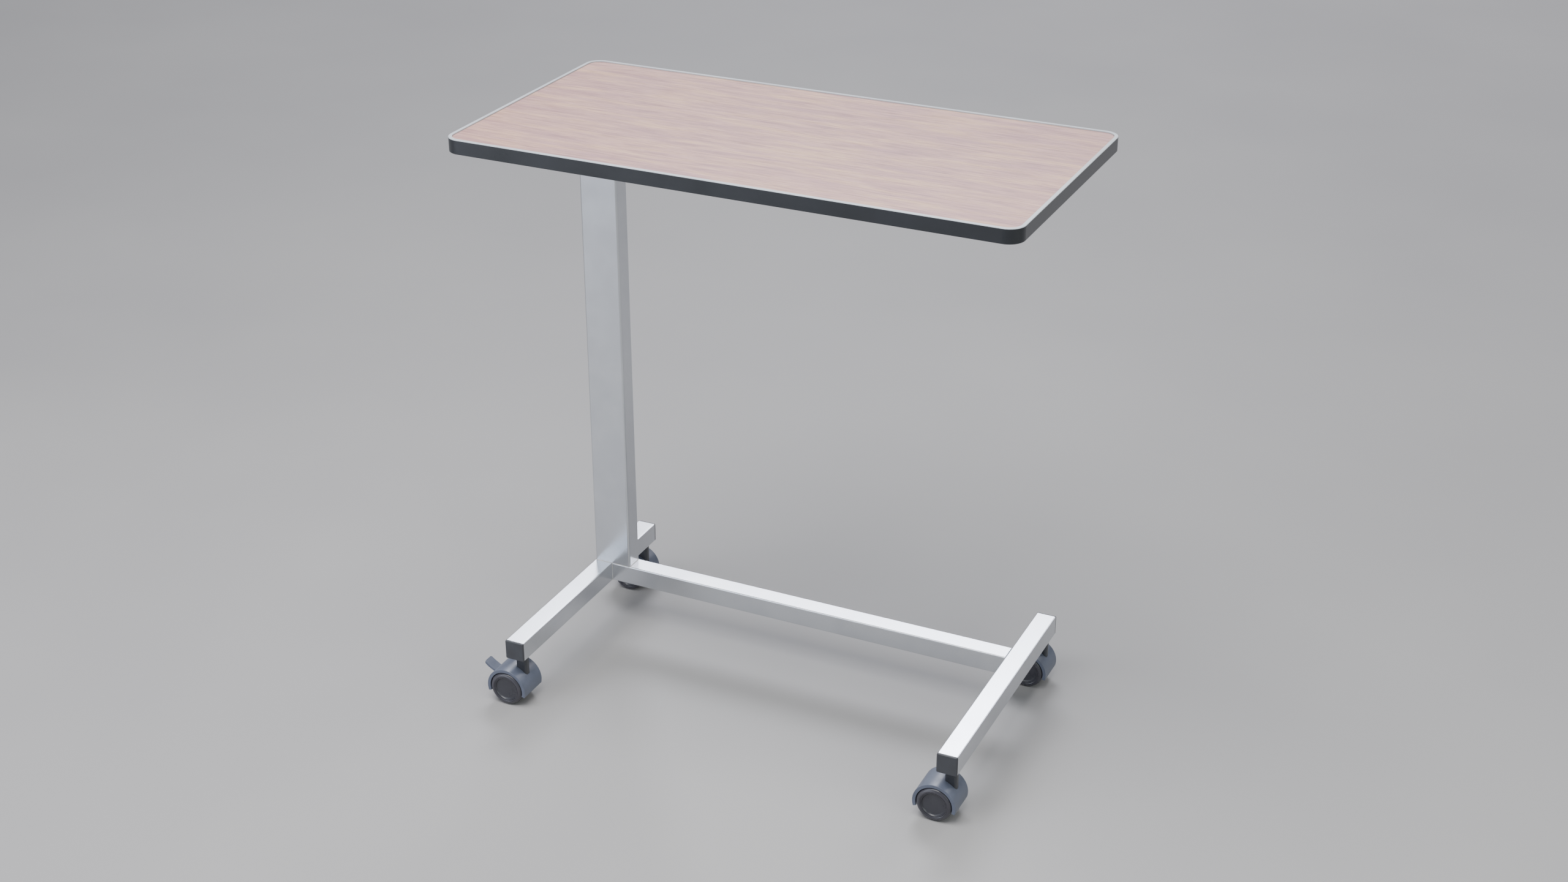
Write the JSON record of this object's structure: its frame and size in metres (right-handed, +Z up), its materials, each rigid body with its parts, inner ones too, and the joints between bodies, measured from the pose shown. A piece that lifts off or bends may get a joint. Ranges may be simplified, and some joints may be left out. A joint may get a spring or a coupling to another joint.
{
  "type": "overbed table",
  "caption": "Rolling overbed table: a lipped rectangular board on a telescoping side column, over an open base on twin-wheel swivel casters.",
  "frame": {"origin": "on the floor under the middle of the board", "axes": "+Z up; +X along the board, away from the column; -Y towards the open front of the base, +Y towards the cross tube's side"},
  "size_m": [0.8, 0.421, 0.86],
  "materials": {
    "satin_steel": "satin-brushed stainless tube, clear edges, welds ground flush",
    "inner_tube_steel": "bright hard-chromed sliding tube",
    "plated_steel": "zinc-plated fasteners and pins",
    "black_steel": "fine-texture black powder coat on the hidden support frame",
    "cylinder_paint": "black paint on the gas spring tube",
    "cap_plastic": "dark grey moulded polypropylene with a fine texture",
    "hood_plastic": "blue-grey moulded nylon, satin",
    "tread_rubber": "dark grey thermoplastic rubber tread",
    "hub_plastic": "dark grey nylon hub, satin",
    "glide_plastic": "black acetal slide bush",
    "board_core": "raw particle board",
    "laminate": "pale pinkish maple-pattern high pressure laminate, satin",
    "backer": "off-white balancing laminate",
    "edge_plastic": "charcoal ABS edge moulding, semi-gloss",
    "lip_plastic": "light grey ABS lip, satin",
    "rod_chrome": "hard-chromed piston rod"
  },
  "bodies": {
    "base": {"left_leg_tube": "satin_steel", "right_leg_tube": "satin_steel", "spine_tube": "satin_steel", "column_tube": "satin_steel", "leg_end_caps": "cap_plastic", "caster_sockets": "plated_steel", "caster_stems": "plated_steel", "column_collar": "cap_plastic", "spring_seat": "black_steel", "gas_cylinder": "cylinder_paint", "gas_spring_gland": "plated_steel"},
    "carriage": {"mast_tube": "inner_tube_steel", "mast_glide": "glide_plastic", "gas_spring_rod": "rod_chrome", "rod_nut": "plated_steel", "mast_head_plate": "black_steel", "front_support_rail": "black_steel", "back_support_rail": "black_steel", "board_screws": "plated_steel", "lever_bracket": "black_steel", "lever_pivot_pin": "plated_steel", "tabletop_core": "board_core", "top_laminate": "laminate", "backer_sheet": "backer", "edge_band": "edge_plastic", "rim_lip": "lip_plastic"},
    "release_lever": {"release_lever": "plated_steel", "release_grip": "cap_plastic"},
    "release_pin": {"release_pin": "plated_steel"},
    "front_left_caster": {"front_left_caster_body": "cap_plastic", "front_left_caster_hood": "hood_plastic", "front_left_caster_axle": "plated_steel"},
    "front_left_wheel_a": {"front_left_caster_hub_a": "hub_plastic", "front_left_caster_tread_a": "tread_rubber"},
    "front_left_wheel_b": {"front_left_caster_hub_b": "hub_plastic", "front_left_caster_tread_b": "tread_rubber"},
    "front_left_brake": {"front_left_caster_brake_pedal": "hood_plastic"},
    "front_right_caster": {"front_right_caster_body": "cap_plastic", "front_right_caster_hood": "hood_plastic", "front_right_caster_axle": "plated_steel"},
    "front_right_wheel_a": {"front_right_caster_hub_a": "hub_plastic", "front_right_caster_tread_a": "tread_rubber"},
    "front_right_wheel_b": {"front_right_caster_hub_b": "hub_plastic", "front_right_caster_tread_b": "tread_rubber"},
    "back_left_caster": {"back_left_caster_body": "cap_plastic", "back_left_caster_hood": "hood_plastic", "back_left_caster_axle": "plated_steel"},
    "back_left_wheel_a": {"back_left_caster_hub_a": "hub_plastic", "back_left_caster_tread_a": "tread_rubber"},
    "back_left_wheel_b": {"back_left_caster_hub_b": "hub_plastic", "back_left_caster_tread_b": "tread_rubber"},
    "back_left_brake": {"back_left_caster_brake_pedal": "hood_plastic"},
    "back_right_caster": {"back_right_caster_body": "cap_plastic", "back_right_caster_hood": "hood_plastic", "back_right_caster_axle": "plated_steel"},
    "back_right_wheel_a": {"back_right_caster_hub_a": "hub_plastic", "back_right_caster_tread_a": "tread_rubber"},
    "back_right_wheel_b": {"back_right_caster_hub_b": "hub_plastic", "back_right_caster_tread_b": "tread_rubber"}
  },
  "joints": [
    {"name": "height_slide", "type": "slide", "parent": "base", "child": "carriage", "axis": [0, 0, 1], "range_m": [-0.055, 0.245]},
    {"name": "release_lever_press", "type": "hinge", "parent": "carriage", "child": "release_lever", "pos_m": [-0.338, 0.077, 0.829], "axis": [0, 1, 0], "range_deg": [0, 6], "stiffness_Nm_per_rad": 0.6, "springref_deg": -6.88},
    {"name": "release_pin_travel", "type": "slide", "parent": "carriage", "child": "release_pin", "axis": [0, 0, -1], "range_m": [0, 0.00195]},
    {"name": "front_left_swivel", "type": "hinge", "parent": "base", "child": "front_left_caster", "pos_m": [-0.3365, -0.1845, 0.07], "axis": [0, 0, 1], "continuous": true},
    {"name": "front_left_wheel_a_spin", "type": "hinge", "parent": "front_left_caster", "child": "front_left_wheel_a", "pos_m": [-0.3509, -0.1845, 0.026], "axis": [0, 1, 0], "continuous": true},
    {"name": "front_left_wheel_b_spin", "type": "hinge", "parent": "front_left_caster", "child": "front_left_wheel_b", "pos_m": [-0.3509, -0.1845, 0.026], "axis": [0, 1, 0], "continuous": true},
    {"name": "front_left_brake_press", "type": "hinge", "parent": "front_left_caster", "child": "front_left_brake", "pos_m": [-0.3774, -0.1845, 0.04039], "axis": [0, -1, 0], "range_deg": [0, 10]},
    {"name": "front_right_swivel", "type": "hinge", "parent": "base", "child": "front_right_caster", "pos_m": [0.3365, -0.1845, 0.07], "axis": [0, 0, 1], "continuous": true},
    {"name": "front_right_wheel_a_spin", "type": "hinge", "parent": "front_right_caster", "child": "front_right_wheel_a", "pos_m": [0.3221, -0.1845, 0.026], "axis": [0, 1, 0], "continuous": true},
    {"name": "front_right_wheel_b_spin", "type": "hinge", "parent": "front_right_caster", "child": "front_right_wheel_b", "pos_m": [0.3221, -0.1845, 0.026], "axis": [0, 1, 0], "continuous": true},
    {"name": "back_left_swivel", "type": "hinge", "parent": "base", "child": "back_left_caster", "pos_m": [-0.3365, 0.1845, 0.07], "axis": [0, 0, 1], "continuous": true},
    {"name": "back_left_wheel_a_spin", "type": "hinge", "parent": "back_left_caster", "child": "back_left_wheel_a", "pos_m": [-0.3509, 0.1845, 0.026], "axis": [0, 1, 0], "continuous": true},
    {"name": "back_left_wheel_b_spin", "type": "hinge", "parent": "back_left_caster", "child": "back_left_wheel_b", "pos_m": [-0.3509, 0.1845, 0.026], "axis": [0, 1, 0], "continuous": true},
    {"name": "back_left_brake_press", "type": "hinge", "parent": "back_left_caster", "child": "back_left_brake", "pos_m": [-0.3774, 0.1845, 0.04039], "axis": [0, -1, 0], "range_deg": [0, 10]},
    {"name": "back_right_swivel", "type": "hinge", "parent": "base", "child": "back_right_caster", "pos_m": [0.3365, 0.1845, 0.07], "axis": [0, 0, 1], "continuous": true},
    {"name": "back_right_wheel_a_spin", "type": "hinge", "parent": "back_right_caster", "child": "back_right_wheel_a", "pos_m": [0.3221, 0.1845, 0.026], "axis": [0, 1, 0], "continuous": true},
    {"name": "back_right_wheel_b_spin", "type": "hinge", "parent": "back_right_caster", "child": "back_right_wheel_b", "pos_m": [0.3221, 0.1845, 0.026], "axis": [0, 1, 0], "continuous": true}
  ],
  "couplings": [
    {"joint": "release_pin_travel", "follows": "release_lever_press", "m_per_rad": 0.0186}
  ]
}
